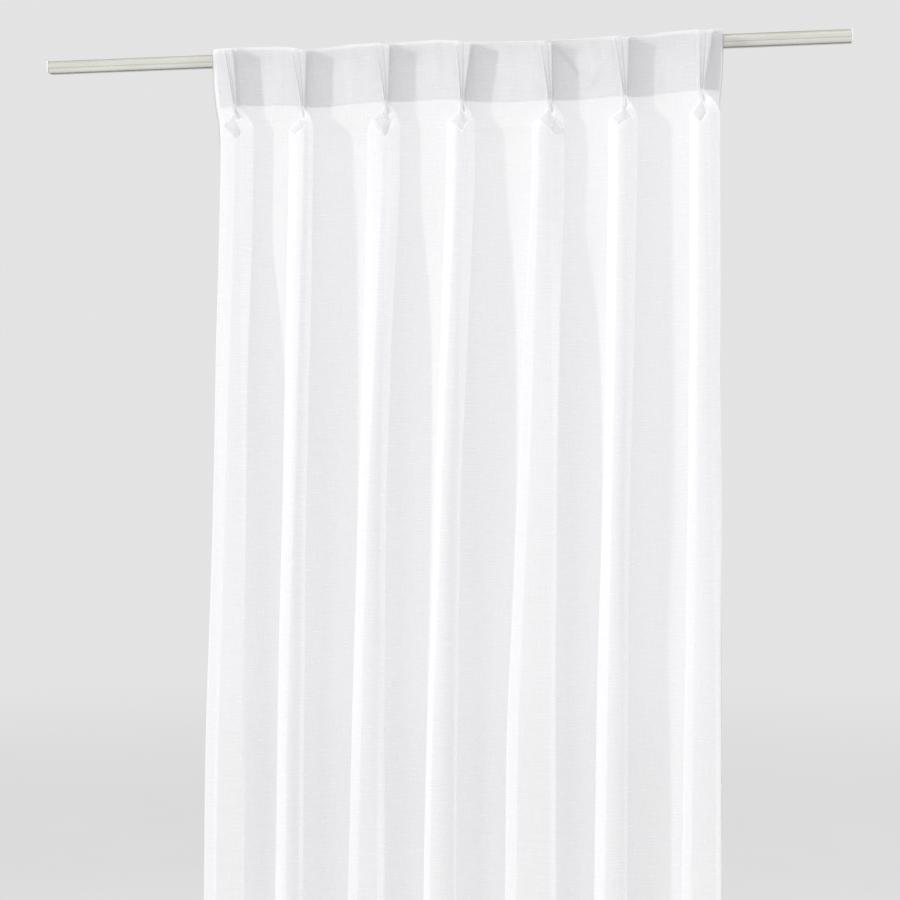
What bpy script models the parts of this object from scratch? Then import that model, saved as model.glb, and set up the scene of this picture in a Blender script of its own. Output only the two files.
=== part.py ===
"""A sheer curtain with seven triple pinch pleats, hung by hooks and gliders from a slim channel rail.

Lengths are in metres, and the tables are in millimetres. +X runs along the rail, +Y to the back of
the curtain and +Z up. The origin is the middle of the rail's flat top face.
"""

from collections import namedtuple
from math import cos, pi, sin, sqrt, tanh

import bmesh
import bpy
import numpy as np

MM = 0.001
GAP = 0.3 * MM                  # left between two pieces that touch

# The cloth: one width of voile, gathered by its pleats, with a stiff tape behind its heading
HEADING_TOP = 2.0 * MM          # the heading's top edge hangs this far below the rail's top face
CLOTH_THICK = 1.0 * MM
TAPE_THICK = 1.0 * MM
TAPE_HEIGHT = 88.0 * MM
TAPE_SIDE = 6.0 * MM            # the tape ends this far from the cloth's side edges
TAPE_STANDOFF = 1.4 * MM        # from the middle of the cloth to the middle of the tape

# A pleat: three fingers side by side, fanned out at the top and tacked together at the foot
ROOT_Y = -22.0 * MM             # the line in front of the rail where the pleats start
FINGER_DEPTH = 17.0 * MM
LAYER_PITCH = 1.3 * MM          # between the layers of cloth in a tacked pleat
TIP_HALF_OPEN = 1.3 * MM        # how far each side of a finger's tip opens at the top
TIP_DROP = 4.0 * MM             # the fingers' tips nod forward by this at the top
ROOT_LEAN = 0.8                 # share of a pleat's lean that its roots follow
PINCH_END = 102.0 * MM          # the tack ends this far down
RELEASED = 126.0 * MM           # the fold has its full width here
VALLEY_LEAD = 3.0               # how much sooner the cloth between the fingers comes forward
PANEL_SAG = 7.0 * MM            # how far the stiff heading bows back between two pleats
SAG_SKEW = 0.75                 # under 1, the bow is deepest near the pleat on its left

# Below its tack a pleat opens into a fold: a front panel and two flanks that run back to a mouth
FLANK = 28.0 * MM
FRONT = 53.5 * MM
LEAST_DEPTH = 10.0 * MM
LEAST_FRONT_BOW = 2.0 * MM
DENT_DEPTH = 11.0 * MM          # of the diamond-shaped hollow just under each tack
DENT_MIDDLE = 121.0 * MM
DENT_REACH = 20.0 * MM          # from the middle of the hollow to its upper and its lower corner
DENT_COLUMN = 6.0               # its middle and its half width, in columns across the pleat
DENT_COLUMNS = 3.0
HIGH = 200.0 * MM               # the two depths at which the table gives a fold's edges
LOW = 1020.0 * MM
SPREAD_LIMIT = 1.65             # the folds stop spreading at about this share of the table's change
SPREAD_EASE = 1.5
BOW = 0.375                     # a shallow bow's rise squared, over its chord times its spare length

# Columns of a pleat: along each flank, as shares from the mouth, and across the front panel
FLANK_SHARES = (0.0, 0.5, 0.92)
FRONT_SHARES = (0.04, 0.18, 0.32, 0.44, 0.56, 0.68, 0.82, 0.96)
VALLEYS = [4, 5, 8, 9]          # the columns of a pleat that lie between its fingers
ROOTS = [0, 13]                 # the columns where a pleat meets the cloth on either side

# Places across a fold, all mm from its pleat's place
Edges = namedtuple("Edges", "left mouth_left mouth_right right")
# place: the tack, along X. lean: how far its fan leans to the right. fan: spread of its outer fingers
Pleat = namedtuple("Pleat", "place lean fan high low")
PLEATS = (
    Pleat(-302, -7, 5.5, Edges(-22, -3, 1, 29), Edges(-37, -23, 15, 26)),
    Pleat(-196, -5, 7.5, Edges(-20, -1, 3, 20), Edges(-31, -21, -5, 11)),
    Pleat(-68, -6, 6.0, Edges(-29, -6, -2, 23), Edges(-47, -36, -12, 5)),
    Pleat(47, 2, 6.5, Edges(-23, -10, -6, 21), Edges(-48, -44, -11, -2)),
    Pleat(178, -4, 6.0, Edges(-26, -16, -5, 23), Edges(-62, -46, 0, 14)),
    Pleat(288, -4, 7.0, Edges(-25, -9, 1, 20), Edges(-42, -24, 4, 10)),
    Pleat(399, 5, 6.0, Edges(-19, -3, 6, 28), Edges(-27, -6, 20, 29)),
)

# The side edges of the cloth turn back behind the first and the last fold, all mm
SidePlace = namedtuple("SidePlace", "depth x y")
LEFT_SIDE = (
    SidePlace(0, -347, -16),
    SidePlace(88, -340, -12),
    SidePlace(120, -326, -4),
    SidePlace(200, -318, 6),
    SidePlace(1020, -337, 10),
    SidePlace(2400, -346, 12),
)
RIGHT_SIDE = (
    SidePlace(0, 431, -14),
    SidePlace(88, 429, -12),
    SidePlace(120, 428, -9),
    SidePlace(200, 427, -6),
    SidePlace(1020, 427, 5),
    SidePlace(2400, 430, 7),
)

# Depths of the rows that the sheets are lofted through, mm below the heading's top edge. The last
# row of the cloth is its hem, and the first of the tape is a little below the heading's edge
CLOTH_ROWS = (
    0, 30, 60, 89, 102, 107, 113, 121, 131, 142, 162, 205, 330, 520, 760, 1020, 1350, 1800, 2398,
)
TAPE_ROWS = (1.5, 30, 60, 89)
FLAP_STEPS = 3                  # columns across a side flap, and across the cloth between two pleats
PANEL_STEPS = 5

# The rail: a slim aluminium channel, open below by a slot that the gliders' necks hang through
RAIL_LENGTH = 1.226
RAIL_DEPTH = 18.0 * MM
RAIL_HEIGHT = 18.0 * MM
RAIL_WALL = 1.8 * MM
SLOT_WIDTH = 6.0 * MM
GROOVE_TOP = 11.0 * MM          # a shallow groove along the rail's front face
GROOVE_HEIGHT = 2.0 * MM
GROOVE_DEEP = 0.6 * MM
CAP_THICK = 2.0 * MM

# A glider: a head that slides on the channel's lips, a neck, and an eye below the rail
HEAD_SIZE = (9.0 * MM, 11.0 * MM, 3.0 * MM)
NECK_RADIUS = 1.9 * MM
EYE_RADIUS = 3.4 * MM
EYE_WIRE = 1.1 * MM
EYE_BELOW = 2.0 * MM            # clear height between the rail and the eye

# A hook: its shank lies on the tape and its crook passes through a glider's eye
HOOK_WIRE = 0.9 * MM
HOOK_FOOT = 58.0 * MM           # its lower end, below the heading's top edge
HOOK_BEND = 3.0 * MM
HOOK_TAIL = 5.0 * MM
HOOK_LEVEL = 45.0 * MM          # a pleat's hook stands where its roots are at this depth
HOOK_FROM_SIDE = 9.0 * MM       # the outermost hooks, in from the cloth's side edges

# Name, base colour, roughness, metallic, alpha
Finish = namedtuple("Finish", "name colour rough metal alpha")
VOILE = Finish("voile", (0.90, 0.90, 0.93), 0.85, 0.0, 0.6)
TAPE = Finish("heading_tape", (0.82, 0.82, 0.85), 0.8, 0.0, 1.0)
ALUMINIUM = Finish("satin_aluminium", (0.62, 0.61, 0.58), 0.38, 0.9, 1.0)
PLASTIC = Finish("white_plastic", (0.88, 0.88, 0.87), 0.45, 0.0, 1.0)


def clear_scene():
    for old in list(bpy.data.objects):
        bpy.data.objects.remove(old, do_unlink=True)


def collection(name):
    made = bpy.data.collections.new(name)
    bpy.context.scene.collection.children.link(made)
    return made


def material(finish):
    made = bpy.data.materials.get(finish.name) or bpy.data.materials.new(finish.name)
    made.use_nodes = True
    shader = made.node_tree.nodes["Principled BSDF"]
    shader.inputs["Base Color"].default_value = (*finish.colour, 1.0)
    shader.inputs["Roughness"].default_value = finish.rough
    shader.inputs["Metallic"].default_value = finish.metal
    shader.inputs["Alpha"].default_value = finish.alpha
    return made


def keep(name, data, finish, where):
    """A named object of this mesh or curve, with its finish, in its collection."""
    made = bpy.data.objects.new(name, data)
    if not data.materials:
        data.materials.append(material(finish))
    where.objects.link(made)
    return made


def ease(x):
    """0 below 0, 1 above 1, and a smooth step between."""
    x = min(max(x, 0.0), 1.0)
    return x * x * (3.0 - 2.0 * x)


def mixed(a, b, share):
    return a + (b - a) * share


def finger_tips(pleat, depth):
    """(opening, roots' middle, fingers' lean) of a pleat's fan: 1 open at the top, 0 at the tape's foot."""
    opening = max(0.0, 1.0 - depth / TAPE_HEIGHT)
    lean = pleat.lean * MM * opening
    return opening, pleat.place * MM + ROOT_LEAN * lean, lean


def fan_section(pleat, depth):
    """The three fingers in plan, from the left root to the right one: 14 points."""
    opening, roots, lean = finger_tips(pleat, depth)
    root_half = LAYER_PITCH / 2
    tip_half = root_half + TIP_HALF_OPEN * opening
    tip_y = ROOT_Y - FINGER_DEPTH
    points = []
    for side in (-1, 0, 1):
        root_x = roots + side * 2 * LAYER_PITCH
        tip_x = pleat.place * MM + lean + side * (2 * LAYER_PITCH + pleat.fan * MM * opening)
        left_root = (root_x - root_half, ROOT_Y)
        right_root = (root_x + root_half, ROOT_Y)
        left_tip = (tip_x - tip_half, tip_y)
        right_tip = (tip_x + tip_half, tip_y)
        points.append(left_root)
        if side == -1:
            points.append(tuple(np.mean((left_root, left_tip), axis=0)))
        points += [left_tip, right_tip]
        if side == 1:
            points.append(tuple(np.mean((right_root, right_tip), axis=0)))
        points.append(right_root)
    return np.array(points)


def fold_edges(pleat, depth):
    """The fold's edges at this depth: the table's high and low rows, carried on ever more slowly."""
    share = SPREAD_LIMIT * tanh((depth - HIGH) / (LOW - HIGH) / SPREAD_EASE)
    share = max(share, 0.0)
    return Edges(*(
        (pleat.place + mixed(high, low, share)) * MM for high, low in zip(pleat.high, pleat.low)
    ))


def fold_section(pleat, depth):
    """The open fold in plan, from the mouth's left edge round the front to its right edge: 14 points."""
    edges = fold_edges(pleat, depth)
    width = edges.right - edges.left
    left_reach = edges.mouth_left - edges.left
    right_reach = edges.right - edges.mouth_right
    left_y = ROOT_Y - max(sqrt(max(FLANK**2 - left_reach**2, 0.0)), LEAST_DEPTH)
    right_y = ROOT_Y - max(sqrt(max(FLANK**2 - right_reach**2, 0.0)), LEAST_DEPTH)
    bow = max(sqrt(max(BOW * width * (FRONT - width), 0.0)), LEAST_FRONT_BOW)
    points = []
    for share in FLANK_SHARES:
        points.append((mixed(edges.mouth_left, edges.left, share), mixed(ROOT_Y, left_y, share)))
    for share in FRONT_SHARES:
        front_y = mixed(left_y, right_y, share) - bow * 4 * share * (1 - share)
        points.append((mixed(edges.left, edges.right, share), front_y))
    for share in reversed(FLANK_SHARES):
        points.append((mixed(edges.mouth_right, edges.right, share), mixed(ROOT_Y, right_y, share)))
    return np.array(points)


def peak(x, middle, reach):
    """1 at the middle, falling evenly to 0 at the reach on either side."""
    return np.clip(1.0 - np.abs(x - middle) / reach, 0.0, None)


def pleat_section(pleat, depth):
    """A pleat's fan above its tack, its fold below, and the cloth's way from one to the other."""
    fan = fan_section(pleat, depth)
    fold = fold_section(pleat, depth)
    released = (depth - PINCH_END) / (RELEASED - PINCH_END)
    section = mixed(fan, fold, ease(released))
    section[VALLEYS, 1] = mixed(fan, fold, ease(released * VALLEY_LEAD))[VALLEYS, 1]
    section[ROOTS, 0] = mixed(fan, fold, ease(released) ** 2)[ROOTS, 0]
    section[1] = (section[0] + section[2]) / 2
    section[-2] = (section[-1] + section[-3]) / 2
    hollow = peak(depth, DENT_MIDDLE, DENT_REACH) * peak(np.arange(len(section)), DENT_COLUMN, DENT_COLUMNS)
    section[:, 1] += DENT_DEPTH * hollow
    return section


def panel_section(start, end, cloth, depth):
    """The cloth between two pleats: it bows back, the more so the more cloth there is to spare."""
    chord = np.linalg.norm(end - start)
    loose = max(PANEL_SAG, sqrt(BOW * chord * max(cloth - chord, 0.0)))
    sag = mixed(PANEL_SAG, loose, ease((depth - TAPE_HEIGHT) / TAPE_HEIGHT))
    skew = mixed(SAG_SKEW, 1.0, ease(depth / HIGH - 1.0))
    share = np.arange(1, PANEL_STEPS) / PANEL_STEPS
    bowed = share**skew
    points = start + (end - start) * share[:, None]
    points[:, 1] += sag * 4 * bowed * (1 - bowed)
    return points


def side_place(table, depth):
    """Where a side edge of the cloth is at this depth."""
    depths = [row.depth * MM for row in table]
    x = np.interp(depth, depths, [row.x * MM for row in table])
    y = np.interp(depth, depths, [row.y * MM for row in table])
    return np.array((x, y))


def flap_section(side, root):
    """The flap between a side edge and the nearest pleat, without its root."""
    share = np.arange(FLAP_STEPS) / FLAP_STEPS
    return side + (root - side) * share[:, None]


def cloth_between(left, right):
    """Width of the cloth between two pleats, which is the same at every depth."""
    gap = fan_section(right, TAPE_HEIGHT)[0] - fan_section(left, TAPE_HEIGHT)[-1]
    return gap[0] + PANEL_SAG**2 / (BOW * gap[0])


def cloth_section(depth):
    """The whole width of the cloth in plan at this depth."""
    pleats = [pleat_section(pleat, depth) for pleat in PLEATS]
    parts = [flap_section(side_place(LEFT_SIDE, depth), pleats[0][0])]
    for index, section in enumerate(pleats):
        parts.append(section)
        if index + 1 < len(pleats):
            width = cloth_between(PLEATS[index], PLEATS[index + 1])
            parts.append(panel_section(section[-1], pleats[index + 1][0], width, depth))
    parts.append(flap_section(side_place(RIGHT_SIDE, depth), pleats[-1][-1])[::-1])
    return np.vstack(parts)


def tape_section(depth):
    """The tape in plan: on the back of the flaps and panels, and straight across each pleat's roots."""
    pleats = [fan_section(pleat, depth) for pleat in PLEATS]
    parts = []
    for table, root in ((LEFT_SIDE, pleats[0][0]), (RIGHT_SIDE, pleats[-1][-1])):
        side = side_place(table, depth)
        inset = TAPE_SIDE / np.linalg.norm(root - side)
        parts.append(flap_section(mixed(side, root, inset), root))
    left_flap, right_flap = parts
    line = [left_flap]
    for index, section in enumerate(pleats):
        line.append(section[[0, -1]])
        if index + 1 < len(pleats):
            width = cloth_between(PLEATS[index], PLEATS[index + 1])
            line.append(panel_section(section[-1], pleats[index + 1][0], width, depth))
    line.append(right_flap[::-1])
    line = np.vstack(line)
    along = np.gradient(line, axis=0)
    along /= np.linalg.norm(along, axis=1)[:, None]
    return line + TAPE_STANDOFF * np.stack((-along[:, 1], along[:, 0]), axis=1)


def sheet(name, grid, thick, finish, where):
    """A sheet of even thickness lofted through a grid of points, row by row."""
    mesh = bpy.data.meshes.new(name)
    shape = bmesh.new()
    rows = [[shape.verts.new(point) for point in row] for row in grid]
    for upper, lower in zip(rows, rows[1:]):
        for column in range(len(upper) - 1):
            corners = (upper[column], lower[column], lower[column + 1], upper[column + 1])
            shape.faces.new(corners)
    shape.to_mesh(mesh)
    shape.free()
    mesh.shade_smooth()
    made = keep(name, mesh, finish, where)
    solid = made.modifiers.new("thickness", "SOLIDIFY")
    solid.thickness = thick
    solid.offset = 0.0
    solid.use_even_offset = True
    return made


def cloth_rows():
    """The grid of the cloth: its sections at their depths, with the fingers' tips nodding at the top."""
    grid = []
    for row in CLOTH_ROWS:
        depth = row * MM
        section = cloth_section(depth)
        opening = max(0.0, 1.0 - depth / TAPE_HEIGHT)
        forward = np.clip((ROOT_Y - section[:, 1]) / FINGER_DEPTH, 0.0, 1.0)
        z = -HEADING_TOP - depth - TIP_DROP * opening * forward
        grid.append(np.column_stack((section, z)))
    return grid


def tape_rows():
    grid = []
    for row in TAPE_ROWS:
        section = tape_section(row * MM)
        z = np.full(len(section), -HEADING_TOP - row * MM)
        grid.append(np.column_stack((section, z)))
    return grid


def flat_outline(name, outline, length, finish, where):
    """An outline in the Y-Z plane, drawn out by this length along X about its middle."""
    curve = bpy.data.curves.new(name, "CURVE")
    curve.dimensions = "2D"
    curve.fill_mode = "BOTH"
    curve.extrude = length / 2
    line = curve.splines.new("POLY")
    line.points.add(len(outline) - 1)
    for point, (y, z) in zip(line.points, outline):
        point.co = (y, z, 0.0, 1.0)
    line.use_cyclic_u = True
    made = keep(name, curve, finish, where)
    made.rotation_euler = (pi / 2, 0.0, pi / 2)
    return made


def make_rail(where):
    """One extrusion: a flat top, two walls with a groove along the front one, and two lips."""
    out_y = RAIL_DEPTH / 2
    in_y = out_y - RAIL_WALL
    slot_y = SLOT_WIDTH / 2
    foot = -RAIL_HEIGHT
    groove_foot = -GROOVE_TOP - GROOVE_HEIGHT
    outline = (
        (-out_y, 0.0),
        (-out_y, -GROOVE_TOP),
        (-out_y + GROOVE_DEEP, -GROOVE_TOP),
        (-out_y + GROOVE_DEEP, groove_foot),
        (-out_y, groove_foot),
        (-out_y, foot),
        (-slot_y, foot),
        (-slot_y, foot + RAIL_WALL),
        (-in_y, foot + RAIL_WALL),
        (-in_y, -RAIL_WALL),
        (in_y, -RAIL_WALL),
        (in_y, foot + RAIL_WALL),
        (slot_y, foot + RAIL_WALL),
        (slot_y, foot),
        (out_y, foot),
        (out_y, 0.0),
    )
    return flat_outline("rail", outline, RAIL_LENGTH, ALUMINIUM, where)


def make_end_cap(name, side, where):
    out_y = RAIL_DEPTH / 2
    outline = ((-out_y, 0.0), (-out_y, -RAIL_HEIGHT), (out_y, -RAIL_HEIGHT), (out_y, 0.0))
    cap = flat_outline(name, outline, CAP_THICK, PLASTIC, where)
    cap.location.x = side * (RAIL_LENGTH / 2 + GAP + CAP_THICK / 2)
    return cap


def eye_z():
    return -RAIL_HEIGHT - EYE_BELOW - EYE_RADIUS - EYE_WIRE


def join(base, other):
    """Adds a Boolean union with another object, which stays as a hidden cutter."""
    union = base.modifiers.new(other.name, "BOOLEAN")
    union.operation = "UNION"
    union.object = other
    other.hide_render = True
    other.display_type = "WIRE"


def into(where, made):
    for old in list(made.users_collection):
        old.objects.unlink(made)
    where.objects.link(made)


def glider_mesh(cutters):
    """The shape that all gliders share, about the point of the rail's top face above it."""
    head_z = -RAIL_HEIGHT + RAIL_WALL + GAP + HEAD_SIZE[2] / 2
    bpy.ops.mesh.primitive_cube_add(size=1.0, location=(0.0, 0.0, head_z))
    head = bpy.context.object
    head.scale = HEAD_SIZE
    bpy.ops.object.transform_apply(location=True, scale=True)
    neck_top = head_z
    neck_foot = eye_z() + EYE_RADIUS
    bpy.ops.mesh.primitive_cylinder_add(
        vertices=12,
        radius=NECK_RADIUS,
        depth=neck_top - neck_foot,
        location=(0.0, 0.0, (neck_top + neck_foot) / 2),
    )
    neck = bpy.context.object
    neck.name = "glider_neck"
    bpy.ops.mesh.primitive_torus_add(
        major_segments=12,
        minor_segments=6,
        major_radius=EYE_RADIUS,
        minor_radius=EYE_WIRE,
        location=(0.0, 0.0, eye_z()),
        rotation=(pi / 2, 0.0, 0.0),
    )
    eye = bpy.context.object
    eye.name = "glider_eye"
    for piece in (neck, eye):
        into(cutters, piece)
        join(head, piece)
    bpy.context.view_layer.update()
    evaluated = head.evaluated_get(bpy.context.evaluated_depsgraph_get())
    mesh = bpy.data.meshes.new_from_object(evaluated)
    mesh.name = "glider"
    mesh.shade_smooth()
    mesh.set_sharp_from_angle(angle=pi / 6)
    bpy.data.objects.remove(head, do_unlink=True)
    return mesh


def hook_places():
    """(x, y) of the tape's back where each hook's shank stands, from left to right."""
    places = []
    for table, pleat, end in ((LEFT_SIDE, PLEATS[0], 0), (RIGHT_SIDE, PLEATS[-1], -1)):
        side = side_place(table, HOOK_FOOT)
        root = fan_section(pleat, HOOK_FOOT)[end]
        along = (root - side) / np.linalg.norm(root - side)
        straight = abs(along[0])
        point = side + along * HOOK_FROM_SIDE
        places.append((point[0], point[1] + (TAPE_STANDOFF + TAPE_THICK / 2 + GAP + HOOK_WIRE) / straight))
    left_place, right_place = places
    middle = [
        (finger_tips(pleat, HOOK_LEVEL)[1], ROOT_Y + TAPE_STANDOFF + TAPE_THICK / 2 + GAP + HOOK_WIRE)
        for pleat in PLEATS
    ]
    return [left_place, *middle, right_place]


def make_hook(name, shank_y, where):
    """A bent wire in the Y-Z plane: shank, bend, straight through the eye, bend, tail."""
    crook_z = eye_z() - EYE_RADIUS + EYE_WIRE + GAP + HOOK_WIRE
    tail_y = EYE_WIRE + HOOK_WIRE + HOOK_BEND
    route = [(shank_y, -HEADING_TOP - HOOK_FOOT)]
    for turn in (0.0, 0.25, 0.5, 0.75, 1.0):
        angle = turn * pi / 2
        route.append((
            shank_y + HOOK_BEND * (1 - cos(angle)),
            crook_z - HOOK_BEND * (1 - sin(angle)),
        ))
    for turn in (0.0, 0.33, 0.67, 1.0):
        angle = turn * pi / 2
        route.append((
            tail_y - HOOK_BEND * (1 - sin(angle)),
            crook_z - HOOK_BEND * (1 - cos(angle)),
        ))
    route.append((tail_y, crook_z - HOOK_BEND - HOOK_TAIL))
    curve = bpy.data.curves.new(name, "CURVE")
    curve.dimensions = "3D"
    curve.bevel_depth = HOOK_WIRE
    curve.bevel_resolution = 2
    curve.use_fill_caps = True
    line = curve.splines.new("POLY")
    line.points.add(len(route) - 1)
    for point, (y, z) in zip(line.points, route):
        point.co = (0.0, y, z, 1.0)
    return keep(name, curve, PLASTIC, where)


def make_carriers(parts, cutters):
    """A glider and a hook for each pleat and for each side edge."""
    shared = glider_mesh(cutters)
    for number, (x, shank_y) in enumerate(hook_places(), start=1):
        glider = keep(f"glider_{number}", shared, PLASTIC, parts)
        glider.location.x = x
        hook = make_hook(f"hook_{number}", shank_y, parts)
        hook.location.x = x


clear_scene()
parts = collection("voile_curtain")
cutters = collection("cutters")
sheet("voile_panel", cloth_rows(), CLOTH_THICK, VOILE, parts)
sheet("heading_tape", tape_rows(), TAPE_THICK, TAPE, parts)
make_rail(parts)
make_end_cap("end_cap_left", -1, parts)
make_end_cap("end_cap_right", 1, parts)
make_carriers(parts, cutters)
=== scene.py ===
"""The looks of a sheer curtain with pinch pleats on its ceiling rail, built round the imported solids.

The curtain's own named sizes are in millimetres, and MM turns them into metres. The floor, the lamps
and the camera are in metres. +X runs along the rail, +Y to the back of the curtain and +Z up. The
origin is the middle of the rail's flat top face. A depth is measured down from the heading's top edge.
"""

from collections import namedtuple
from math import cos, pi, radians, sin, sqrt

import bmesh
import bpy
import numpy as np
from mathutils import Matrix, Vector


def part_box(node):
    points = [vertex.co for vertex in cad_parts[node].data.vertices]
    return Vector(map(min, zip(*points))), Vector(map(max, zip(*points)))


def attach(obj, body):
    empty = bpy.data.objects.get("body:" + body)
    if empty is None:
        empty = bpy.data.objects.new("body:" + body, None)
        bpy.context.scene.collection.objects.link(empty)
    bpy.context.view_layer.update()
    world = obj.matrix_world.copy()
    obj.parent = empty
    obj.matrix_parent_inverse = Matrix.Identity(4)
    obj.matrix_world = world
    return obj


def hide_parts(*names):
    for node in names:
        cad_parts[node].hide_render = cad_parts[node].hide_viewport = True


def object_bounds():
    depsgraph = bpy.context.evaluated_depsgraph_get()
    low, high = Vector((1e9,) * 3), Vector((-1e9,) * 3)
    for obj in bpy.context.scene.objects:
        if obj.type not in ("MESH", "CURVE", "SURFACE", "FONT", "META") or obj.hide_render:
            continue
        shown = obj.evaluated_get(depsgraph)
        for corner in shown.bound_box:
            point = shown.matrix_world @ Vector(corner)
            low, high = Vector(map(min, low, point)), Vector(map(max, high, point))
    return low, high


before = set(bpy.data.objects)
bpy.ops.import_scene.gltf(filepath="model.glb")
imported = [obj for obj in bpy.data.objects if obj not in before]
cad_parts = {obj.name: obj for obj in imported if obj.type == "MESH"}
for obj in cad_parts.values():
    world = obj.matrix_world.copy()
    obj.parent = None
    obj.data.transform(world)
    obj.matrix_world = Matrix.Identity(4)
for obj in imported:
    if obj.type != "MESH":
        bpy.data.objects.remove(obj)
cad_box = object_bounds()


# The rail is one aluminium extrusion, satin anodised, fixed above by its flat top.
# A thin edge stands over a sunk band along its front, and the wall below bellies out a little.
# A groove runs above its foot, and two lips leave a slot below them, where the gliders run.
MM = 0.001
RAIL_LENGTH = 1226.0
RAIL_HEIGHT = 18.0
RAIL_WALL = 1.8
RAIL_SUNK = 8.0                 # from the rail's middle to its sunk band
RAIL_SLOT = 6.0                 # width of the slot between the lips

# Its front in section, from the top down: how far forward of the middle, and the height
RAIL_FRONT = (
    (9.0, 0.0), (9.0, -1.0), (8.0, -1.5), (7.9, -3.4), (8.6, -4.0), (8.95, -5.5), (9.0, -8.0),
    (8.8, -11.2), (8.1, -11.6), (8.0, -12.6), (8.7, -13.0), (8.4, -16.0), (8.0, -18.0),
)
RAIL_EDGE = 0.2                 # how far each corner of the extrusion is rounded back
CORNER_MOST = 0.45              # and the most that this may be, as a share of the side beside it
CORNER_STEPS = (0.0, 0.33, 0.67, 1.0)
SHARP = 30                      # an edge of the extrusion that turns by more degrees looks sharp
ALUMINIUM = ((0.58, 0.575, 0.53, 1), (0.64, 0.635, 0.59, 1))


class Shade:
    """A socket of a material. Sums on it add Math nodes, and node() adds any other node."""

    def __init__(self, tree, socket=None):
        self.tree = tree
        self.socket = socket

    def node(self, kind, settings=None, sockets=None, output=0):
        """Adds a node with these settings, values and links, and gives one of its outputs."""
        made = self.tree.nodes.new(kind)
        for name, value in (settings or {}).items():
            setattr(made, name, value)
        for name, value in (sockets or {}).items():
            if isinstance(value, Shade):
                self.tree.links.new(value.socket, made.inputs[name])
            else:
                made.inputs[name].default_value = value
        return Shade(self.tree, made.outputs[output] if made.outputs else None)

    def maths(self, operation, *values):
        return self.node("ShaderNodeMath", {"operation": operation}, dict(enumerate(values)))

    def __add__(self, other):
        return self.maths("ADD", self, other)

    def __sub__(self, other):
        return self.maths("SUBTRACT", self, other)

    def __rsub__(self, other):
        return self.maths("SUBTRACT", other, self)

    def __mul__(self, other):
        return self.maths("MULTIPLY", self, other)

    __radd__ = __add__
    __rmul__ = __mul__

    def absolute(self):
        return self.maths("ABSOLUTE", self)

    def sine(self):
        return self.maths("SINE", self)

    def part(self, axis):
        """One coordinate of this place, 0 for the first."""
        return self.node("ShaderNodeSeparateXYZ", None, {0: self}, axis)

    def between(self, low, high):
        """0 where this is low or less, 1 where it is high or more, and a smooth step between."""
        sockets = {"Value": self, "From Min": low, "From Max": high}
        return self.node("ShaderNodeMapRange", {"interpolation_type": "SMOOTHSTEP"}, sockets)

    def colour(self, low, high):
        """The colour low where this is 0 and the colour high where it is 1."""
        return self.node("ShaderNodeMix", {"data_type": "RGBA"}, {0: self, 6: low, 7: high}, 2)

    def stretched(self, *scale):
        """This place, scaled along its axes, for a pattern that is longer one way than another."""
        return self.node("ShaderNodeVectorMath", {"operation": "MULTIPLY"}, {0: self, 1: scale})

    def noise(self, *scale, detail=2.0):
        """An uneven pattern from 0 to 1 over this place, with this many patches a metre each way."""
        sockets = {"Vector": self.stretched(*scale), "Scale": 1.0, "Detail": detail}
        return self.node("ShaderNodeTexNoise", None, sockets)

    def relief(self, height, strength=1.0):
        """The surface's normal where this pattern stands up to height metres proud."""
        sockets = {"Strength": strength, "Distance": height, "Height": self}
        return self.node("ShaderNodeBump", None, sockets)

    def principled(self, **sockets):
        """A Principled shader. Its sockets' names are given with underscores for spaces."""
        named = {name.replace("_", " "): value for name, value in sockets.items()}
        return self.node("ShaderNodeBsdfPrincipled", None, named)

    def shown(self):
        """Makes this shader the material's surface."""
        self.node("ShaderNodeOutputMaterial", None, {"Surface": self})


def new_material(name):
    """A bare material, and the start of its nodes."""
    made = bpy.data.materials.new(name)
    made.use_nodes = True
    made.node_tree.nodes.clear()
    return made, Shade(made.node_tree)


def object_place(nodes):
    """Where a point of the surface is, in metres."""
    return nodes.node("ShaderNodeTexCoord", None, None, "Object")


def new_piece(name, mesh, material, slot, *replaced):
    """A smooth piece of the curtain that stands for these solids."""
    made = bpy.data.objects.new(name, mesh)
    bpy.context.scene.collection.objects.link(made)
    mesh.materials.append(material)
    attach(made, "root")
    if replaced:
        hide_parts(*replaced)
    return made


def shaped(name, shape, sharp):
    """Makes a mesh of a shape, smooth but for the edges that turn by more than these degrees."""
    mesh = bpy.data.meshes.new(name)
    shape.to_mesh(mesh)
    shape.free()
    mesh.shade_smooth()
    mesh.set_sharp_from_angle(angle=radians(sharp))
    return mesh


def rounded_off(outline, reach):
    """The outline with each corner cut to a small arc that starts this far from it."""
    points = []
    for index, corner in enumerate(outline):
        before = np.subtract(outline[index - 1], corner)
        after = np.subtract(outline[(index + 1) % len(outline)], corner)
        start = corner + before * min(reach / np.linalg.norm(before), CORNER_MOST)
        end = corner + after * min(reach / np.linalg.norm(after), CORNER_MOST)
        for share in CORNER_STEPS:
            bend = (1 - share) ** 2 * start + 2 * share * (1 - share) * np.array(corner)
            points.append(bend + share**2 * end)
    return points


def extruded(name, outline, low, high):
    """A closed outline in the Y-Z plane, in mm, drawn out along X between two places in metres."""
    shape = bmesh.new()
    ends = [[shape.verts.new((x, y * MM, z * MM)) for y, z in outline] for x in (low, high)]
    for index in range(len(outline)):
        following = (index + 1) % len(outline)
        sides = (ends[0][index], ends[0][following], ends[1][following], ends[1][index])
        shape.faces.new(sides)
    for end in ends:
        shape.faces.new(end)
    bmesh.ops.recalc_face_normals(shape, faces=shape.faces)
    return shaped(name, shape, SHARP)


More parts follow.
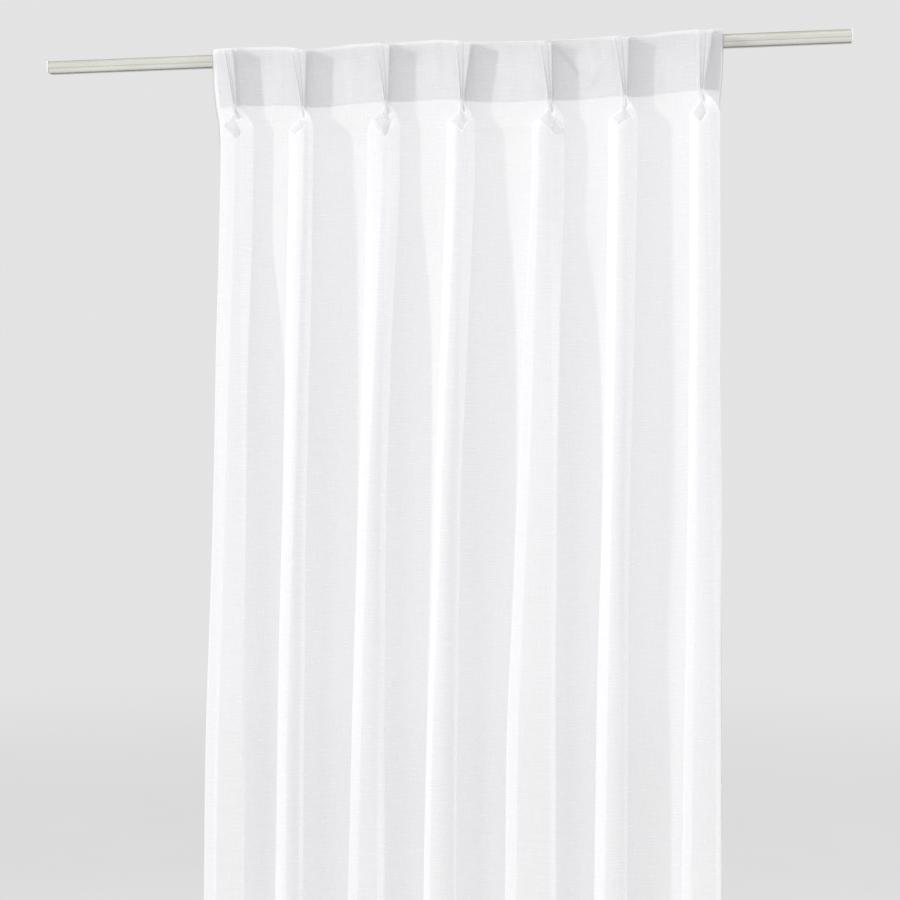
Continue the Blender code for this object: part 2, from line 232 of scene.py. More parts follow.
def anodised():
    """Satin anodised aluminium: fine lines along the extrusion, and a faint cloudiness."""
    material, nodes = new_material("satin_aluminium")
    place = object_place(nodes)
    lines = place.noise(6, 900, 900, detail=3.0)
    clouds = place.noise(9, 30, 30)
    tone = clouds.between(0.3, 0.7).colour(*ALUMINIUM)
    nodes.principled(
        Base_Color=tone,
        Roughness=0.42 + 0.14 * lines,
        Metallic=0.5,
        Normal=lines.relief(0.00004, 0.4),
    ).shown()
    return material


rail_in = RAIL_SUNK - RAIL_WALL
lip_in = RAIL_SLOT / 2
lip_top = RAIL_WALL - RAIL_HEIGHT
rail_outline = [
    *((-y, z) for y, z in RAIL_FRONT),
    (-lip_in, -RAIL_HEIGHT), (-lip_in, lip_top), (-rail_in, lip_top), (-rail_in, -RAIL_WALL),
    (rail_in, -RAIL_WALL), (rail_in, lip_top), (lip_in, lip_top), (lip_in, -RAIL_HEIGHT),
    *reversed(RAIL_FRONT),
]
rail_end = RAIL_LENGTH / 2 * MM
rail_mesh = extruded("rail_extrusion", rounded_off(rail_outline, RAIL_EDGE), -rail_end, rail_end)
new_piece("rail_extrusion", rail_mesh, anodised(), "aluminium", "rail")


# The caps are thin moulded plates, pushed onto the ends of the rail to close the channel.
# Each has the rail's outline, soft edges and a shallow panel sunk into its outer face.
CAP_RIM = 2.2                   # width of the rim round the sunk panel
CAP_SUNK = 0.5
CAP_SOFT = 0.35
MOULDED_SHARP = 40
WHITE_PLASTIC = ((0.80, 0.80, 0.79, 1), (0.86, 0.86, 0.85, 1))


def moulded():
    """White moulded plastic with a faint orange-peel skin."""
    material, nodes = new_material("white_plastic")
    place = object_place(nodes)
    skin = place.noise(2500, 2500, 2500)
    clouds = place.noise(120, 120, 120)
    nodes.principled(
        Base_Color=clouds.between(0.3, 0.7).colour(*WHITE_PLASTIC),
        Roughness=0.38 + 0.12 * clouds,
        Normal=skin.relief(0.00005, 0.3),
    ).shown()
    return material


def mixed(a, b, share):
    """The value this share of the way from a to b."""
    return a + (b - a) * share


def block(low, high):
    """A box between two corners, as a shape that is still to be worked on."""
    shape = bmesh.new()
    bmesh.ops.create_cube(shape, size=1.0)
    for vert in shape.verts:
        vert.co = [mixed(a, b, place + 0.5) for a, b, place in zip(low, high, vert.co)]
    return shape


def softened(shape, width, segments=2):
    """Rounds the sharp edges of a shape."""
    sharp = [edge for edge in shape.edges if edge.calc_face_angle(0.0) > radians(SHARP)]
    bmesh.ops.bevel(shape, geom=sharp, offset=width, segments=segments, affect="EDGES", profile=0.5)


def end_cap(name, node, outwards):
    """The cap on one end of the rail, whose outer face looks to -X or to +X."""
    shape = block(*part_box(node))
    face = max(shape.faces, key=lambda f: f.normal.x * outwards)
    bmesh.ops.inset_region(shape, faces=[face], thickness=CAP_RIM * MM)
    bmesh.ops.translate(shape, verts=face.verts, vec=(-outwards * CAP_SUNK * MM, 0.0, 0.0))
    softened(shape, CAP_SOFT * MM)
    new_piece(name, shaped(name, shape, MOULDED_SHARP), plastic, "plastic", node)


plastic = moulded()
end_cap("cap_left", "end_cap_left", -1)
end_cap("cap_right", "end_cap_right", 1)


# The gliders are small plastic mouldings. Each has a flat head that runs on the rail's lips, a round
# neck that hangs through the slot, and an eye below the rail for its hook.
GLIDERS = 9
HEAD_HEIGHT = 3.0
HEAD_SOFT = 0.7
NECK = ((1.9, 0.0), (1.7, -1.5), (1.7, -3.6), (2.2, -4.6), (1.6, -5.6))     # radius and height
NECK_SUNK = 0.5                 # how far the neck reaches up into the head
NECK_SIDES = 20
EYE_RADIUS = 3.4
EYE_WIRE = 1.1                  # radius of the eye's own ring
EYE_STEPS = 32
EYE_SIDES = 12


def around(steps):
    """The angles of this many even steps round a circle."""
    return [2 * pi * step / steps for step in range(steps)]


def join_rings(shape, rings):
    """Adds the walls from each ring of corners to the next."""
    for upper, lower in zip(rings, rings[1:]):
        for step in range(len(upper)):
            after = (step + 1) % len(upper)
            shape.faces.new((upper[step], upper[after], lower[after], lower[step]))


def glider(number):
    """A glider's head, neck and eye."""
    low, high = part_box(f"glider_{number}")
    middle_x = (low.x + high.x) / 2
    shape = block((low.x, low.y, high.z - HEAD_HEIGHT * MM), high)
    softened(shape, HEAD_SOFT * MM, 3)
    neck_top = high.z - (HEAD_HEIGHT - NECK_SUNK) * MM
    rings = []
    for radius, height in NECK:
        ring = []
        for angle in around(NECK_SIDES):
            x, y = radius * MM * cos(angle), radius * MM * sin(angle)
            ring.append(shape.verts.new((middle_x + x, y, neck_top + height * MM)))
        rings.append(ring)
    join_rings(shape, rings)
    shape.faces.new(rings[0])
    shape.faces.new(rings[-1])
    eye = Vector((middle_x, 0.0, low.z + (EYE_RADIUS + EYE_WIRE) * MM))
    loops = []
    for turn in around(EYE_STEPS):
        outwards = Vector((cos(turn), 0.0, sin(turn)))
        loop = []
        for angle in around(EYE_SIDES):
            reach = (EYE_RADIUS + EYE_WIRE * cos(angle)) * MM
            sideways = Vector((0.0, EYE_WIRE * MM * sin(angle), 0.0))
            loop.append(shape.verts.new(eye + outwards * reach + sideways))
        loops.append(loop)
    join_rings(shape, loops + loops[:1])
    bmesh.ops.recalc_face_normals(shape, faces=shape.faces)
    name = f"moulded_glider_{number}"
    new_piece(name, shaped(name, shape, MOULDED_SHARP), plastic, "plastic", f"glider_{number}")


for number in range(1, GLIDERS + 1):
    glider(number)


# The hooks are bent from stout plastic-covered wire. The shank stands in the back of the tape, the
# crook passes through a glider's eye, and a short tail hangs down behind it.
HOOK_WIRE = 0.9                 # radius of the wire
HOOK_BEND = 3.0                 # radius of the crook's two bends
HOOK_TAIL = 5.0
BEND_STEPS = 8


def hook(number):
    """A hook's wire: up the shank, over the crook and down the tail."""
    low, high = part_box(f"hook_{number}")
    middle_x = (low.x + high.x) / 2
    shank_y = low.y + HOOK_WIRE * MM
    tail_y = high.y - HOOK_WIRE * MM
    crook_z = high.z - HOOK_WIRE * MM
    bend = HOOK_BEND * MM
    angles = [step / BEND_STEPS * pi / 2 for step in range(BEND_STEPS + 1)]
    route = [(shank_y, low.z)]
    route += [(shank_y + bend * (1 - cos(a)), crook_z - bend * (1 - sin(a))) for a in angles]
    route += [(tail_y - bend * (1 - sin(a)), crook_z - bend * (1 - cos(a))) for a in angles]
    route.append((tail_y, crook_z - bend - HOOK_TAIL * MM))
    curve = bpy.data.curves.new(f"wire_hook_{number}", "CURVE")
    curve.dimensions = "3D"
    curve.bevel_depth = HOOK_WIRE * MM
    curve.bevel_resolution = 4
    curve.use_fill_caps = True
    line = curve.splines.new("POLY")
    line.points.add(len(route) - 1)
    for point, (y, z) in zip(line.points, route):
        point.co = (middle_x, y, z, 1.0)
    new_piece(curve.name, curve, plastic, "plastic", f"hook_{number}")


for number in range(1, GLIDERS + 1):
    hook(number)


# The curtain is one width of linen-look voile, woven from fine white polyester yarns with slubs. Seven
# tacked pleats of three fingers draw in its top. Below its tack each opens into a soft fold: a front and
# two flanks that run back to a mouth. The sides and the foot are turned back and sewn as hems.
TAPE_HEIGHT = 88.0
HEADING_TOP = 2.0               # the heading's top edge hangs this far below the rail's top face
ROOT_Y = -22.0                  # the line in front of the rail where the pleats start
FINGERS = 3
FINGER_DEPTH = 17.0
FINGER_GAP = 0.1                # between two fingers, which lean on each other
FINGERS_BACK = (1.7, 0.8, 0.0)  # how much less deep each finger is at its top
TIP_SLANT = 0.8                 # and how much further back the left edge of its tip stands
LAYER_PITCH = 1.3               # between the layers of cloth in a tacked pleat
ROOT_DROP = 1.5                 # the top edge dips this much at each pleat
TIP_DROP = 6.5                  # and the fingers' tips nod forward by this more
ROOT_FLARE = 3.0                # how much further out the two outer roots of the open fan stand
ROOT_LEAN = 0.8                 # share of a pleat's lean that its roots follow

# Plan of the fingers' sides, from the fan's left side over its two slits to its right side: each is
# a row of shares of the finger's depth and of its half width there
SIDES = (
    ((0.0, 1.0), (0.5, 1.0), (0.9, 1.0), (1.0, 0.85)),
    ((0.0, 1.0), (0.6, 1.0), (0.96, 1.03), (1.0, 1.12)),
    ((0.0, 1.0), (0.6, 1.0), (0.96, 1.03), (1.0, 1.12)),
    ((0.0, 1.0), (0.5, 1.0), (0.92, 1.0), (1.0, 0.85)),
)

# place: the tack, along X. lean: how far its fan leans to the right. fan: spread of its fingers.
# first_slit, second_slit: their places at the top edge, as shares of the fan's width
Pleat = namedtuple("Pleat", "place lean fan first_slit second_slit")
PLEATS = (
    Pleat(-302, -10.7, 3.1, 0.20, 0.45),
    Pleat(-196, -6.3, 6.6, 0.10, 0.50),
    Pleat(-68, -6, 6.0, 0.12, 0.58),
    Pleat(47, 2, 6.5, 0.13, 0.52),
    Pleat(178, -6.7, 4.2, 0.18, 0.70),
    Pleat(288, -5.6, 5.9, 0.13, 0.55),
    Pleat(399, 5, 6.0, 0.27, 0.54),
)

# The columns of a pleat run from 0 at its left root to 23 at its right one, eight to a finger. Those
# beside its slits come forward sooner as it is released, and those of its outer sides straighten sooner
PLEAT_COLUMNS = 24
SLIT_COLUMNS = [*range(5, 11), *range(13, 19)]
SLIT_LEAD = 3.0
OUTER_SIDES = ((0, 3), (23, 20))
OUTER_LEAD = 4.0

# A pleat is released between two depths, sooner on its right, where the cloth falls from the tape. Its
# left columns are released smoothly, and its right ones at once
RELEASE_COLUMNS = (0, 15, 20, 23)
RELEASE_STARTS = (108, 108, 96, 91)
RELEASE_ENDS = (133, 133, 131, 130)
SMOOTH_TO_QUICK = (12, 20)      # columns between which one way passes into the other

# The edges of each pleat's fold and of its mouth, at four depths
Fold = namedtuple("Fold", "depth left mouth_left mouth_right right")
FOLDS = (
    (Fold(200, -324, -304, -301, -271), Fold(660, -330, -315, -291, -277),
     Fold(1020, -339, -325, -287, -276), Fold(2400, -348, -334, -286, -272)),
    (Fold(200, -217, -196, -193, -176), Fold(660, -222, -208, -199, -183),
     Fold(1020, -227, -217, -201, -186), Fold(2400, -242, -228, -200, -180)),
    (Fold(200, -97, -74, -71, -45), Fold(660, -104, -93, -79, -63),
     Fold(1020, -115, -104, -80, -63), Fold(2400, -136, -124, -84, -60)),
    (Fold(200, 24, 38, 40, 68), Fold(660, 11, 17, 39, 50),
     Fold(1020, -1, 5, 36, 45), Fold(2400, -22, -12, 32, 42)),
    (Fold(200, 152, 162, 173, 201), Fold(660, 131, 148, 182, 192),
     Fold(1020, 116, 133, 178, 192), Fold(2400, 100, 118, 176, 194)),
    (Fold(200, 263, 279, 289, 308), Fold(660, 257, 271, 287, 298),
     Fold(1020, 246, 263, 285, 294), Fold(2400, 232, 248, 284, 296)),
    (Fold(200, 380, 396, 405, 427), Fold(660, 379, 393, 413, 428),
     Fold(1020, 372, 388, 418, 427), Fold(2400, 358, 374, 416, 429)),
)
FLANK = 28.0                    # width of the cloth in a flank
LEAST_FLANK = 10.0              # and how far back a flank reaches at least
FRONT = 53.5                    # width of the cloth in the front
LEAST_BOW = 2.0
BOW = 0.375                     # a shallow bow's rise squared, over its chord times its spare length
FLANK_SHARES = (0.0, 0.35, 0.7, 0.93)       # where the columns lie, from the mouth to the front
FRONT_SHARES = np.linspace(0.03, 0.97, 16)  # and across the front

# The fold's four edges wander: for each, its waves' length, their shift from pleat to pleat and size
WAVES = (
    ((97, 1.7, 0.8), (41, 2.9, 0.48)), ((113, 2.3, 0.8),), ((121, 0.9, 0.8),),
    ((89, 3.1, 0.8), (47, 1.0, 0.48)),
)
WAVES_START = 180
WAVES_GROW = 300                # they grow to their full size over this length

# Between two pleats the cloth bows back, and lower down it ripples a little
PANEL_STEPS = 12                # columns from one pleat to the next, and across a side flap
FLAP_STEPS = 4
PANEL_SAG = 7.0                 # how far the stiff heading bows back
SAG_SKEW = 0.75                 # under 1, the bow is deepest near the pleat on its left
SKEW_FADES = (200, 400)
RIPPLE = 2.2
RIPPLE_LENGTH = 240             # a ripple changes over this length times 2 pi
RIPPLE_SHIFT = 1.3              # and from panel to panel
RIPPLE_STARTS = 120
RIPPLE_GROWS = 200

# The side edges of the cloth turn back behind the first and the last fold
Side = namedtuple("Side", "depth x y")
LEFT_SIDE = (
    Side(0, -346, -13.5), Side(66, -343, -11.5), Side(88, -341, -8), Side(110, -337, -6),
    Side(155, -334.5, -4), Side(225, -335.5, 0), Side(1020, -341, 8), Side(2400, -348, 12),
)
RIGHT_SIDE = (
    Side(0, 430.5, -11.5), Side(66, 429.5, -11), Side(98, 426, -9), Side(142, 424, -8),
    Side(200, 425, -6), Side(1020, 427, 5), Side(2400, 430, 7),
)

# The heading's top edge wanders up and down: a place along X, and how far the edge is lifted there
LIFTS = (
    (-347, 7.5), (-310, 9), (-250, 8.5), (-223, 7), (-200, 3.2), (-180, 2.4), (-155, 4), (-130, 6.5),
    (-80, 7.5), (-55, 6.8), (10, 8.5), (35, 6.5), (55, 3.8), (77, 2.4), (100, 1.6), (140, 1.2),
    (190, 0.8), (212, 1.0), (240, 1.8), (265, 3), (280, 3.8), (300, 1.6), (322, 2.8), (344, 6),
    (390, 8.2), (431, 8.4),
)
LIFT_FADES = (150, 500)         # the lift fades out between these depths

# Depths of the rows that the cloth is lofted through
ROWS = (
    0, 3, 10, 22, 38, 56, 72, 84, 89, 93, 97, 101, 105, 109, 113, 117, 121, 125, 129, 134, 140,
    147, 156, 168, 184, 205, 232, 266, 310, 365, 430, 505, 590, 685, 790, 905, 1030, 1165, 1320,
    1490, 1680, 1880, 2080, 2230, 2318, 2380, 2398,
)
FLAT_DEPTH = 400                # where the cloth's width is measured


def ease(x):
    """0 below 0, 1 above 1, and a smooth step between."""
    x = np.clip(x, 0.0, 1.0)
    return x * x * (3.0 - 2.0 * x)


def arch(x):
    """0 at 0 and at 1, and 1 in the middle."""
    return 4 * x * (1 - x)


def fan_points(pleat, depth):
    """The three fingers in plan, from the left root to the right one: eight points to a finger."""
    opening = max(0.0, 1.0 - depth / TAPE_HEIGHT)
    lean = pleat.lean * opening
    tacked = 2 * FINGERS * LAYER_PITCH
    width = tacked + FINGERS * pleat.fan * opening
    even = np.linspace(0.0, 1.0, FINGERS + 1)
    shares = mixed(even, np.array((0.0, pleat.first_slit, pleat.second_slit, 1.0)), opening)
    roots = pleat.place + ROOT_LEAN * lean + (even - 0.5) * tacked
    roots += np.array((-ROOT_FLARE, 0.0, 0.0, ROOT_FLARE)) * opening
    tips = pleat.place + lean + (shares - 0.5) * width
    points = []
    for finger, back in enumerate(FINGERS_BACK):
        halves = []
        for side in (0, 1):
            reach = FINGER_DEPTH - (back + TIP_SLANT * (1 - side)) * opening
            half = []
            for along, share in SIDES[finger + side]:
                edges = mixed(roots, tips, along)[finger:finger + 2]
                spare = mixed(1.0, share, sqrt(opening)) * (edges[1] - edges[0] - FINGER_GAP) / 2
                half.append((edges.mean() + (2 * side - 1) * spare, ROOT_Y - reach * along))
            halves.append(half)
        points += halves[0] + halves[1][::-1]
    return np.array(points)


def fold_edges(number, depth):
    """The edges of a pleat's fold at this depth, read from its rows and wandering a little."""
    depths, *edges = zip(*FOLDS[number])
    grown = ease((depth - WAVES_START) / WAVES_GROW)
    wander = [
        sum(size * sin(depth / length + shift * number) for length, shift, size in waves)
        for waves in WAVES
    ]
    return [np.interp(depth, depths, edge) + grown * off for edge, off in zip(edges, wander)]


def fold_points(number, depth):
    """The open fold in plan, from the mouth's left edge round the front to its right edge."""
    left, mouth_left, mouth_right, right = fold_edges(number, depth)
    width = right - left
    left_y = ROOT_Y - max(sqrt(max(FLANK**2 - (mouth_left - left) ** 2, 0.0)), LEAST_FLANK)
    right_y = ROOT_Y - max(sqrt(max(FLANK**2 - (right - mouth_right) ** 2, 0.0)), LEAST_FLANK)
    bow = max(sqrt(max(BOW * width * (FRONT - width), 0.0)), LEAST_BOW)
    points = [(mixed(mouth_left, left, s), mixed(ROOT_Y, left_y, s)) for s in FLANK_SHARES]
    points += [(mixed(left, right, s), mixed(left_y, right_y, s) - bow * arch(s)) for s in FRONT_SHARES]
    points += [(mixed(mouth_right, right, s), mixed(ROOT_Y, right_y, s)) for s in reversed(FLANK_SHARES)]
    return np.array(points)


def pleat_points(number, depth):
    """A pleat's fan above its tack, its fold below, and the cloth's way from one to the other."""
    fan = fan_points(PLEATS[number], depth)
    fold = fold_points(number, depth)
    columns = np.arange(PLEAT_COLUMNS)
    starts = np.interp(columns, RELEASE_COLUMNS, RELEASE_STARTS)
    ends = np.interp(columns, RELEASE_COLUMNS, RELEASE_ENDS)
    released = np.clip((depth - starts) / (ends - starts), 0.0, 1.0)
    quick = np.interp(columns, SMOOTH_TO_QUICK, (0.0, 1.0))
    share = mixed(ease(released), released * (2.0 - released), quick)[:, None]
    points = mixed(fan, fold, share)
    forward = mixed(fan[:, 1], fold[:, 1], ease(released * SLIT_LEAD))
    points[SLIT_COLUMNS, 1] = forward[SLIT_COLUMNS]
    roots = [0, -1]
    points[roots, 0] = mixed(fan[:, 0], fold[:, 0], ease(released) ** 2)[roots]
    for root, tip in OUTER_SIDES:
        step = 1 if tip > root else -1
        for column in range(root + step, tip, step):
            along = (column - root) / (tip - root)
            straight = mixed(points[root], points[tip], along)
            points[column] = mixed(points[column], straight, ease(released[column] * OUTER_LEAD))
    return points


def panel_points(start, end, cloth, depth, number):
    """The cloth between two pleats: it bows back, the more so the more cloth there is to spare."""
    chord = np.linalg.norm(end - start)
    loose = max(PANEL_SAG, sqrt(BOW * chord * max(cloth - chord, 0.0)))
    sag = mixed(PANEL_SAG, loose, ease((depth - TAPE_HEIGHT) / TAPE_HEIGHT))
    skew = mixed(SAG_SKEW, 1.0, ease((depth - SKEW_FADES[0]) / (SKEW_FADES[1] - SKEW_FADES[0])))
    share = np.arange(1, PANEL_STEPS) / PANEL_STEPS
    points = start + (end - start) * share[:, None]
    ripple = np.sin(share * pi * (2 + number % 2) + RIPPLE_SHIFT * number) * np.sin(share * pi)
    ripple *= RIPPLE * ease((depth - RIPPLE_STARTS) / RIPPLE_GROWS) * sin(depth / RIPPLE_LENGTH + number)
    points[:, 1] += sag * arch(share**skew) + ripple
    return points


def side_place(table, depth):
    """Where a side edge of the cloth is at this depth."""
    depths, *places = zip(*table)
    return np.array([np.interp(depth, depths, place) for place in places])


def flap_points(side, root):
    """The flap from a side edge to the root of the nearest pleat, without that root."""
    share = np.arange(FLAP_STEPS) / FLAP_STEPS
    return side + (root - side) * share[:, None]


def panel_widths():
    """Width of the cloth between neighbouring pleats, which is the same at every depth."""
    pleats = [fan_points(pleat, TAPE_HEIGHT) for pleat in PLEATS]
    gaps = [right[0][0] - left[-1][0] for left, right in zip(pleats, pleats[1:])]
    return [gap + PANEL_SAG**2 / (BOW * gap) for gap in gaps]


def section(depth):
    """The whole width of the cloth in plan at this depth, in mm."""
    pleats = [pleat_points(number, depth) for number in range(len(PLEATS))]
    parts = [flap_points(side_place(LEFT_SIDE, depth), pleats[0][0]), pleats[0]]
    for number, width in enumerate(panel_widths()):
        start, end = pleats[number][-1], pleats[number + 1][0]
        parts += [panel_points(start, end, width, depth, number), pleats[number + 1]]
    parts.append(flap_points(side_place(RIGHT_SIDE, depth), pleats[-1][-1])[::-1])
    return np.vstack(parts)


def finer(grid, axis):
    """The grid with a row or column more between each two, drawn into a smooth cubic surface."""
    grid = np.moveaxis(grid, axis, 0)
    made = np.empty((2 * len(grid) - 1, *grid.shape[1:]))
    made[1::2] = (grid[:-1] + grid[1:]) / 2
    made[2:-2:2] = (grid[:-2] + 6 * grid[1:-1] + grid[2:]) / 8
    made[0], made[-1] = grid[0], grid[-1]
    return np.moveaxis(made, 0, axis)


def lofted():
    """The cloth's surface: for each row and column its X, Y and Z, and its place on the flat cloth."""
    rows = []
    widths = np.linalg.norm(np.diff(section(FLAT_DEPTH), axis=0), axis=1)
    across = np.concatenate(([0.0], np.cumsum(widths)))
    lift = np.interp(section(TAPE_HEIGHT / 2)[:, 0], *np.transpose(LIFTS))
    for depth in ROWS:
        plan = section(depth)
        opening = max(0.0, 1.0 - depth / TAPE_HEIGHT)
        forward = np.clip((ROOT_Y - plan[:, 1]) / FINGER_DEPTH, 0.0, 1.0)
        gathered = ease((ROOT_Y + PANEL_SAG - plan[:, 1]) / PANEL_SAG)
        lifted = lift * (1.0 - ease((depth - LIFT_FADES[0]) / (LIFT_FADES[1] - LIFT_FADES[0])))
        z = lifted - HEADING_TOP - depth - opening * (ROOT_DROP * gathered + TIP_DROP * forward)
        rows.append(np.column_stack((plan, z, across, np.full(len(plan), depth))))
    grid = np.array(rows) * MM
    return finer(finer(finer(grid, 1), 0), 0)


# Just under each tack the cloth folds in, and leaves a four-sided hollow with a crisp lower edge
Hollow = namedtuple("Hollow", "top_x top left_x left foot_x foot right_x right")
HOLLOWS = (
    Hollow(-302, 103, -322, 119, -299, 141, -290, 130),
    Hollow(-196, 108, -214, 128, -208, 142, -188, 128),
    Hollow(-68, 103, -88, 117, -69, 146, -56, 118),
    Hollow(47, 107, 28, 124, 49, 141, 58, 118),
    Hollow(178, 110, 161, 125, 188, 151, 200, 141),
    Hollow(287, 104, 268, 127, 277, 141, 302, 126),
    Hollow(398, 104, 382, 122, 397, 140, 410, 121),
)
HOLLOW_SLOPE = 1.25             # how fast it deepens from its upper left edge
HOLLOW_LIP = 5.0                # width of the lip along its other edges
HOLLOW_COLUMNS = (7, 40)        # the finished pleat's columns that it may reach


def finished_column(number):
    """The first column of a pleat on the finished cloth, which has twice as many."""
    return 2 * (FLAP_STEPS + number * (PLEAT_COLUMNS + PANEL_STEPS - 1))


def inside(x, z, start, end, middle):
    """How far points are inside of a line, on the side of it where the middle is."""
    across = np.array((start[1] - end[1], end[0] - start[0])) / np.hypot(*np.subtract(end, start))
    if np.dot(across, np.subtract(middle, start)) < 0:
        across = -across
    return (x - start[0]) * across[0] + (z - start[1]) * across[1]


def press_hollows(cloth):
    """Presses the hollow under each tack into the front of its fold."""
    for number, row in enumerate(HOLLOWS):
        first, last = (finished_column(number) + column for column in HOLLOW_COLUMNS)
        part = cloth[:, first:last]
        x, z = part[..., 0] / MM, -part[..., 2] / MM
        top, left = (row.top_x, row.top), (row.left_x, row.left)
        foot, right = (row.foot_x, row.foot), (row.right_x, row.right)
        middle = np.mean((top, left, foot, right), axis=0)
        deep = HOLLOW_SLOPE * np.maximum(inside(x, z, top, left, middle), 0.0)
        for start, end in ((top, right), (left, foot), (foot, right)):
            deep *= ease(inside(x, z, start, end, middle) / HOLLOW_LIP)
        part[..., 1] += deep * MM


# The stiff heading also has a few creases between the pleats. Each runs between two places (x and
# depth), and stands this high, with faces this wide on its left and on its right
Crease = namedtuple("Crease", "panel x depth end_x end_depth height left right")
CREASES = (
    Crease(4, 184, 4, 236, 62, 2.4, 7, 26),
    Crease(4, 232, -8, 246, 44, 1.3, 12, 14),
    Crease(2, 2, -8, 8, 60, 1.2, 16, 10),
    Crease(1, -128, 10, -122, 92, 0.9, 12, 18),
    Crease(5, 338, 92, 328, 30, 1.0, 10, 16),
    Crease(3, 112, 6, 118, 84, 0.9, 18, 14),
    Crease(0, -236, 12, -238, 90, 0.7, 14, 10),
)
CREASE_FADE = 14.0              # a crease fades out over this length at each of its ends
CREASE_COLUMNS = 3.0            # and over this many columns beside a pleat


def press_creases(cloth):
    """Raises the creases of the heading between the pleats."""
    for row in CREASES:
        first = finished_column(row.panel) + 2 * (PLEAT_COLUMNS - 1)
        part = cloth[:, first:first + 2 * PANEL_STEPS + 1]
        x, depth = part[..., 0] / MM, part[..., 4] / MM
        start = np.array((row.x, row.depth))
        way = np.array((row.end_x, row.end_depth)) - start
        length = np.linalg.norm(way)
        way = way / length
        along = (x - start[0]) * way[0] + (depth - start[1]) * way[1]
        off = (x - start[0]) * way[1] - (depth - start[1]) * way[0]
        face = np.where(off < 0.0, 1.0 + off / row.left, 1.0 - off / row.right)
        shown = ease(face) * ease(1.0 + along / CREASE_FADE) * ease(1.0 + (length - along) / CREASE_FADE)
        columns = np.arange(part.shape[1])
        shown *= ease(columns / CREASE_COLUMNS) * ease(columns[::-1] / CREASE_COLUMNS)
        part[..., 1] -= row.height * MM * shown


def backs(cloth):
    """For each point of the cloth, the direction straight out of its back."""
    across = np.gradient(cloth[..., :3], axis=1)
    down = np.gradient(cloth[..., :3], axis=0)
    out = np.cross(across, down)
    return out / np.maximum(np.linalg.norm(out, axis=2), 1e-12)[..., None]


def cloth_mesh(name, grid):
    """A mesh of one layer through a grid of points, with the place on the flat cloth as its map."""
    rows, columns = grid.shape[:2]
    index = np.arange(rows * columns).reshape(rows, columns)
    faces = np.stack((index[:-1, :-1], index[1:, :-1], index[1:, 1:], index[:-1, 1:]), axis=-1)
    mesh = bpy.data.meshes.new(name)
    mesh.from_pydata(grid[..., :3].reshape(-1, 3).tolist(), [], faces.reshape(-1, 4).tolist())
    corners = np.empty(len(mesh.loops), dtype=np.int32)
    mesh.loops.foreach_get("vertex_index", corners)
    weave = mesh.uv_layers.new(name="weave")
    weave.data.foreach_set("uv", grid[..., 3:5].reshape(-1, 2)[corners].ravel())
    mesh.shade_smooth()
    return mesh


# A hem turns a strip of the cloth back, and it lies close behind
SIDE_HEM = 15.0
SIDE_HEM_BEHIND = 0.3
FOOT_HEM = 80.0
FOOT_HEM_BEHIND = 1.0


def hemmed(cloth):
    """The cloth with its foot turned up behind, and then its sides turned in behind."""
    out = backs(cloth)
    depths = cloth[:, 0, 4]
    edge = np.argmin(np.abs(depths - (ROWS[-1] - FOOT_HEM) * MM))
    turned_out = out[edge:][::-1][1:]
    strip = cloth[edge:][::-1][1:].copy()
    strip[..., :3] += FOOT_HEM_BEHIND * MM * turned_out
    strip[..., 4] = 2 * depths[-1] - strip[..., 4]
    cloth = np.concatenate((cloth, strip))
    out = np.concatenate((out, turned_out))
    # The strip faces the other way, so its own sides turn in between it and the cloth
    behind = np.full(len(cloth), SIDE_HEM_BEHIND)
    behind[-len(strip):] = -SIDE_HEM_BEHIND / 2
    for end in (0, -1):
        reach = np.abs(cloth[0, :, 3] - cloth[0, end, 3])
        columns = np.flatnonzero(reach < SIDE_HEM * MM)
        columns = columns[1:][::-1] if end == 0 else columns[:-1][::-1]
        strip = cloth[:, columns].copy()
        strip[..., :3] += behind[:, None, None] * MM * out[:, columns]
        strip[..., 3] = 2 * cloth[0, end, 3] - strip[..., 3]
        if end == 0:
            cloth = np.concatenate((strip, cloth), axis=1)
            out = np.concatenate((out[:, columns], out), axis=1)
        else:
            cloth = np.concatenate((cloth, strip), axis=1)
    return cloth


VOILE_YARN = ((0.935, 0.935, 0.95, 1), (0.955, 0.955, 0.965, 1))
VOILE_GLOW = (0.95, 0.95, 0.965, 1)     # colour of the light that comes through its yarns
VOILE_THROUGH = 0.38                    # and the share of the light that does


def sheer(nodes, yarn, glow, share, cover):
    """Threads that let this share of the light through, and open air where they don't cover."""
    lit = nodes.node("ShaderNodeBsdfTranslucent", None, {"Color": glow})
    thread = nodes.node("ShaderNodeMixShader", None, {0: share, 1: yarn, 2: lit})
    open_air = nodes.node("ShaderNodeBsdfTransparent")
    return nodes.node("ShaderNodeMixShader", None, {0: cover, 1: open_air, 2: thread})


def voile():
    """Sheer voile: light passes between its yarns, and thick places in the yarns show as dashes."""
    material, nodes = new_material("voile")
    place = nodes.node("ShaderNodeUVMap", {"uv_map": "weave"})
    weft = place.noise(60, 760, 1).between(0.58, 0.76)
    warp = place.noise(800, 34, 1).between(0.62, 0.78)
    yarns = place.noise(24, 2600, 1, detail=0.0) + place.noise(2600, 24, 1, detail=0.0)
    patches = place.noise(45, 45, 1)
    cover = 0.53 + 0.12 * yarns + 0.13 * weft + 0.09 * warp + 0.05 * patches
    yarn = nodes.principled(
        Base_Color=weft.colour(*VOILE_YARN),
        Roughness=0.8,
        Specular_IOR_Level=0.25,
        Sheen_Weight=0.1,
        Normal=(yarns + weft + warp).relief(0.0002, 0.2),
    )
    sheer(nodes, yarn, VOILE_GLOW, VOILE_THROUGH, cover).shown()
    return material


cloth = lofted()
press_hollows(cloth)
press_creases(cloth)
cloth_back = backs(cloth)
full = hemmed(cloth)
panel = new_piece("voile_cloth", cloth_mesh("voile_cloth", full), voile(), "voile", "voile_panel")


